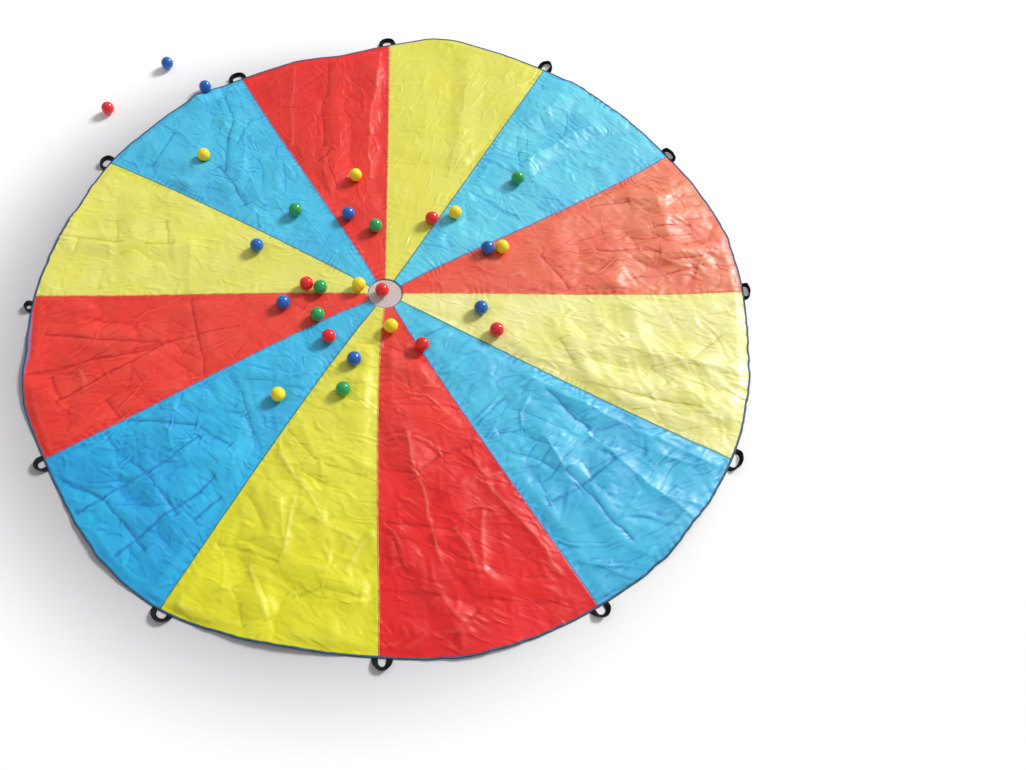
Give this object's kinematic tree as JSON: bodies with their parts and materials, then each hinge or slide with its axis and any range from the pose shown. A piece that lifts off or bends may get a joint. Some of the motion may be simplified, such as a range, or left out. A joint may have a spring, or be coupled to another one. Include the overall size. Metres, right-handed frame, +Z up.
{
  "type": "play parachute",
  "caption": "Round play parachute of coloured gores laid out flat, with hand loops round its rim, a mesh vent at its centre and small light balls to bounce on it.",
  "frame": {"origin": "centre of the vent's net on its underside, on the floor", "axes": "+Z up, +Y from the vent to the seam between the red and yellow gores at twelve o'clock, +X to three o'clock"},
  "size_m": [3.0804, 3.1321, 0.0634],
  "materials": {
    "yellow_cloth": "thin smooth woven nylon, slight sheen",
    "blue_cloth": "thin smooth woven nylon, slight sheen",
    "red_cloth": "thin smooth woven nylon, slight sheen",
    "edge_binding": "sewn tape",
    "vent_mesh": "fine open mesh",
    "webbing": "matt ribbed webbing",
    "red_ball": "smooth moulded",
    "blue_ball": "smooth moulded",
    "green_ball": "smooth moulded",
    "yellow_ball": "smooth moulded"
  },
  "bodies": {
    "canopy": {"gore_01_yellow": "yellow_cloth", "gore_02_blue": "blue_cloth", "gore_03_red": "red_cloth", "gore_04_yellow": "yellow_cloth", "gore_05_blue": "blue_cloth", "gore_06_red": "red_cloth", "gore_07_yellow": "yellow_cloth", "gore_08_blue": "blue_cloth", "gore_09_red": "red_cloth", "gore_10_yellow": "yellow_cloth", "gore_11_blue": "blue_cloth", "gore_12_red": "red_cloth", "rim_binding": "edge_binding", "vent_ring": "edge_binding", "vent_net": "vent_mesh"},
    "hand_loop_01": {"handle_01": "webbing"},
    "hand_loop_02": {"handle_02": "webbing"},
    "hand_loop_03": {"handle_03": "webbing"},
    "hand_loop_04": {"handle_04": "webbing"},
    "hand_loop_05": {"handle_05": "webbing"},
    "hand_loop_06": {"handle_06": "webbing"},
    "hand_loop_07": {"handle_07": "webbing"},
    "hand_loop_08": {"handle_08": "webbing"},
    "hand_loop_09": {"handle_09": "webbing"},
    "hand_loop_10": {"handle_10": "webbing"},
    "hand_loop_11": {"handle_11": "webbing"},
    "hand_loop_12": {"handle_12": "webbing"},
    "free_ball_yellow_1": {"ball_yellow_1": "yellow_ball"},
    "free_ball_green_1": {"ball_green_1": "green_ball"},
    "free_ball_blue_1": {"ball_blue_1": "blue_ball"},
    "free_ball_green_2": {"ball_green_2": "green_ball"},
    "free_ball_blue_2": {"ball_blue_2": "blue_ball"},
    "free_ball_red_1": {"ball_red_1": "red_ball"},
    "free_ball_green_3": {"ball_green_3": "green_ball"},
    "free_ball_yellow_2": {"ball_yellow_2": "yellow_ball"},
    "free_ball_red_2": {"ball_red_2": "red_ball"},
    "free_ball_blue_3": {"ball_blue_3": "blue_ball"},
    "free_ball_green_4": {"ball_green_4": "green_ball"},
    "free_ball_red_3": {"ball_red_3": "red_ball"},
    "free_ball_yellow_3": {"ball_yellow_3": "yellow_ball"},
    "free_ball_blue_4": {"ball_blue_4": "blue_ball"},
    "free_ball_red_4": {"ball_red_4": "red_ball"},
    "free_ball_yellow_4": {"ball_yellow_4": "yellow_ball"},
    "free_ball_green_5": {"ball_green_5": "green_ball"},
    "free_ball_blue_5": {"ball_blue_5": "blue_ball"},
    "free_ball_yellow_5": {"ball_yellow_5": "yellow_ball"},
    "free_ball_blue_6": {"ball_blue_6": "blue_ball"},
    "free_ball_red_5": {"ball_red_5": "red_ball"},
    "free_ball_red_6": {"ball_red_6": "red_ball"},
    "free_ball_green_6": {"ball_green_6": "green_ball"},
    "free_ball_yellow_6": {"ball_yellow_6": "yellow_ball"},
    "free_ball_yellow_7": {"ball_yellow_7": "yellow_ball"},
    "free_ball_blue_7": {"ball_blue_7": "blue_ball"},
    "free_ball_red_7": {"ball_red_7": "red_ball"},
    "free_ball_blue_8": {"ball_blue_8": "blue_ball"}
  },
  "joints": [
    {"name": "hand_loop_01_swing", "type": "hinge", "parent": "canopy", "child": "hand_loop_01", "pos_m": [0.80342, 1.36472, 0.003], "axis": [0.8432, -0.5376, 0], "range_deg": [0, 110]},
    {"name": "hand_loop_02_swing", "type": "hinge", "parent": "canopy", "child": "hand_loop_02", "pos_m": [1.3333, 0.78459, 0.003], "axis": [0.5042, -0.8636, 0], "range_deg": [0, 110]},
    {"name": "hand_loop_03_swing", "type": "hinge", "parent": "canopy", "child": "hand_loop_03", "pos_m": [1.53446, 0.01076, 0.003], "axis": [-0.0558, -0.9984, 0], "range_deg": [0, 110]},
    {"name": "hand_loop_04_swing", "type": "hinge", "parent": "canopy", "child": "hand_loop_04", "pos_m": [1.33244, -0.76929, 0.003], "axis": [-0.5055, -0.8628, 0], "range_deg": [0, 110]},
    {"name": "hand_loop_05_swing", "type": "hinge", "parent": "canopy", "child": "hand_loop_05", "pos_m": [0.75362, -1.33178, 0.003], "axis": [-0.8743, -0.4854, 0], "range_deg": [0, 110]},
    {"name": "hand_loop_06_swing", "type": "hinge", "parent": "canopy", "child": "hand_loop_06", "pos_m": [-0.00945, -1.5067, 0.003], "axis": [-0.9985, 0.055, 0], "range_deg": [0, 110]},
    {"name": "hand_loop_07_swing", "type": "hinge", "parent": "canopy", "child": "hand_loop_07", "pos_m": [-0.78078, -1.3484, 0.003], "axis": [-0.8962, 0.4437, 0], "range_deg": [0, 110]},
    {"name": "hand_loop_08_swing", "type": "hinge", "parent": "canopy", "child": "hand_loop_08", "pos_m": [-1.30202, -0.78431, 0.003], "axis": [-0.5109, 0.8596, 0], "range_deg": [0, 110]},
    {"name": "hand_loop_09_swing", "type": "hinge", "parent": "canopy", "child": "hand_loop_09", "pos_m": [-1.49764, -0.0677, 0.003], "axis": [-0.0174, 0.9998, 0], "range_deg": [0, 110]},
    {"name": "hand_loop_10_swing", "type": "hinge", "parent": "canopy", "child": "hand_loop_10", "pos_m": [-1.2957, 0.73515, 0.003], "axis": [0.4624, 0.8867, 0], "range_deg": [0, 110]},
    {"name": "hand_loop_11_swing", "type": "hinge", "parent": "canopy", "child": "hand_loop_11", "pos_m": [-0.73566, 1.29174, 0.003], "axis": [0.8765, 0.4813, 0], "range_deg": [0, 110]},
    {"name": "hand_loop_12_swing", "type": "hinge", "parent": "canopy", "child": "hand_loop_12", "pos_m": [0.01187, 1.54572, 0.003], "axis": [0.9662, 0.2579, 0], "range_deg": [0, 110]},
    {"name": "ball_yellow_1_toss", "type": "slide", "parent": "canopy", "child": "free_ball_yellow_1", "axis": [0, 0, 1], "range_m": [0, 0.4]},
    {"name": "ball_green_1_toss", "type": "slide", "parent": "canopy", "child": "free_ball_green_1", "axis": [0, 0, 1], "range_m": [0, 0.4]},
    {"name": "ball_blue_1_toss", "type": "slide", "parent": "canopy", "child": "free_ball_blue_1", "axis": [0, 0, 1], "range_m": [0, 0.4]},
    {"name": "ball_green_2_toss", "type": "slide", "parent": "canopy", "child": "free_ball_green_2", "axis": [0, 0, 1], "range_m": [0, 0.4]},
    {"name": "ball_blue_2_toss", "type": "slide", "parent": "canopy", "child": "free_ball_blue_2", "axis": [0, 0, 1], "range_m": [0, 0.4]},
    {"name": "ball_red_1_toss", "type": "slide", "parent": "canopy", "child": "free_ball_red_1", "axis": [0, 0, 1], "range_m": [0, 0.4]},
    {"name": "ball_green_3_toss", "type": "slide", "parent": "canopy", "child": "free_ball_green_3", "axis": [0, 0, 1], "range_m": [0, 0.4]},
    {"name": "ball_yellow_2_toss", "type": "slide", "parent": "canopy", "child": "free_ball_yellow_2", "axis": [0, 0, 1], "range_m": [0, 0.4]},
    {"name": "ball_red_2_toss", "type": "slide", "parent": "canopy", "child": "free_ball_red_2", "axis": [0, 0, 1], "range_m": [0, 0.4]},
    {"name": "ball_blue_3_toss", "type": "slide", "parent": "canopy", "child": "free_ball_blue_3", "axis": [0, 0, 1], "range_m": [0, 0.4]},
    {"name": "ball_green_4_toss", "type": "slide", "parent": "canopy", "child": "free_ball_green_4", "axis": [0, 0, 1], "range_m": [0, 0.4]},
    {"name": "ball_red_3_toss", "type": "slide", "parent": "canopy", "child": "free_ball_red_3", "axis": [0, 0, 1], "range_m": [0, 0.4]},
    {"name": "ball_yellow_3_toss", "type": "slide", "parent": "canopy", "child": "free_ball_yellow_3", "axis": [0, 0, 1], "range_m": [0, 0.4]},
    {"name": "ball_blue_4_toss", "type": "slide", "parent": "canopy", "child": "free_ball_blue_4", "axis": [0, 0, 1], "range_m": [0, 0.4]},
    {"name": "ball_red_4_toss", "type": "slide", "parent": "canopy", "child": "free_ball_red_4", "axis": [0, 0, 1], "range_m": [0, 0.4]},
    {"name": "ball_yellow_4_toss", "type": "slide", "parent": "canopy", "child": "free_ball_yellow_4", "axis": [0, 0, 1], "range_m": [0, 0.4]},
    {"name": "ball_green_5_toss", "type": "slide", "parent": "canopy", "child": "free_ball_green_5", "axis": [0, 0, 1], "range_m": [0, 0.4]},
    {"name": "ball_blue_5_toss", "type": "slide", "parent": "canopy", "child": "free_ball_blue_5", "axis": [0, 0, 1], "range_m": [0, 0.4]},
    {"name": "ball_yellow_5_toss", "type": "slide", "parent": "canopy", "child": "free_ball_yellow_5", "axis": [0, 0, 1], "range_m": [0, 0.4]},
    {"name": "ball_blue_6_toss", "type": "slide", "parent": "canopy", "child": "free_ball_blue_6", "axis": [0, 0, 1], "range_m": [0, 0.4]},
    {"name": "ball_red_5_toss", "type": "slide", "parent": "canopy", "child": "free_ball_red_5", "axis": [0, 0, 1], "range_m": [0, 0.4]},
    {"name": "ball_red_6_toss", "type": "slide", "parent": "canopy", "child": "free_ball_red_6", "axis": [0, 0, 1], "range_m": [0, 0.4]},
    {"name": "ball_green_6_toss", "type": "slide", "parent": "canopy", "child": "free_ball_green_6", "axis": [0, 0, 1], "range_m": [0, 0.4]},
    {"name": "ball_yellow_6_toss", "type": "slide", "parent": "canopy", "child": "free_ball_yellow_6", "axis": [0, 0, 1], "range_m": [0, 0.4]},
    {"name": "ball_yellow_7_toss", "type": "slide", "parent": "canopy", "child": "free_ball_yellow_7", "axis": [0, 0, 1], "range_m": [0, 0.4]},
    {"name": "ball_blue_7_toss", "type": "slide", "parent": "canopy", "child": "free_ball_blue_7", "axis": [0, 0, 1], "range_m": [0, 0.4]},
    {"name": "ball_red_7_toss", "type": "slide", "parent": "canopy", "child": "free_ball_red_7", "axis": [0, 0, 1], "range_m": [0, 0.4]},
    {"name": "ball_blue_8_toss", "type": "slide", "parent": "canopy", "child": "free_ball_blue_8", "axis": [0, 0, 1], "range_m": [0, 0.4]}
  ]
}
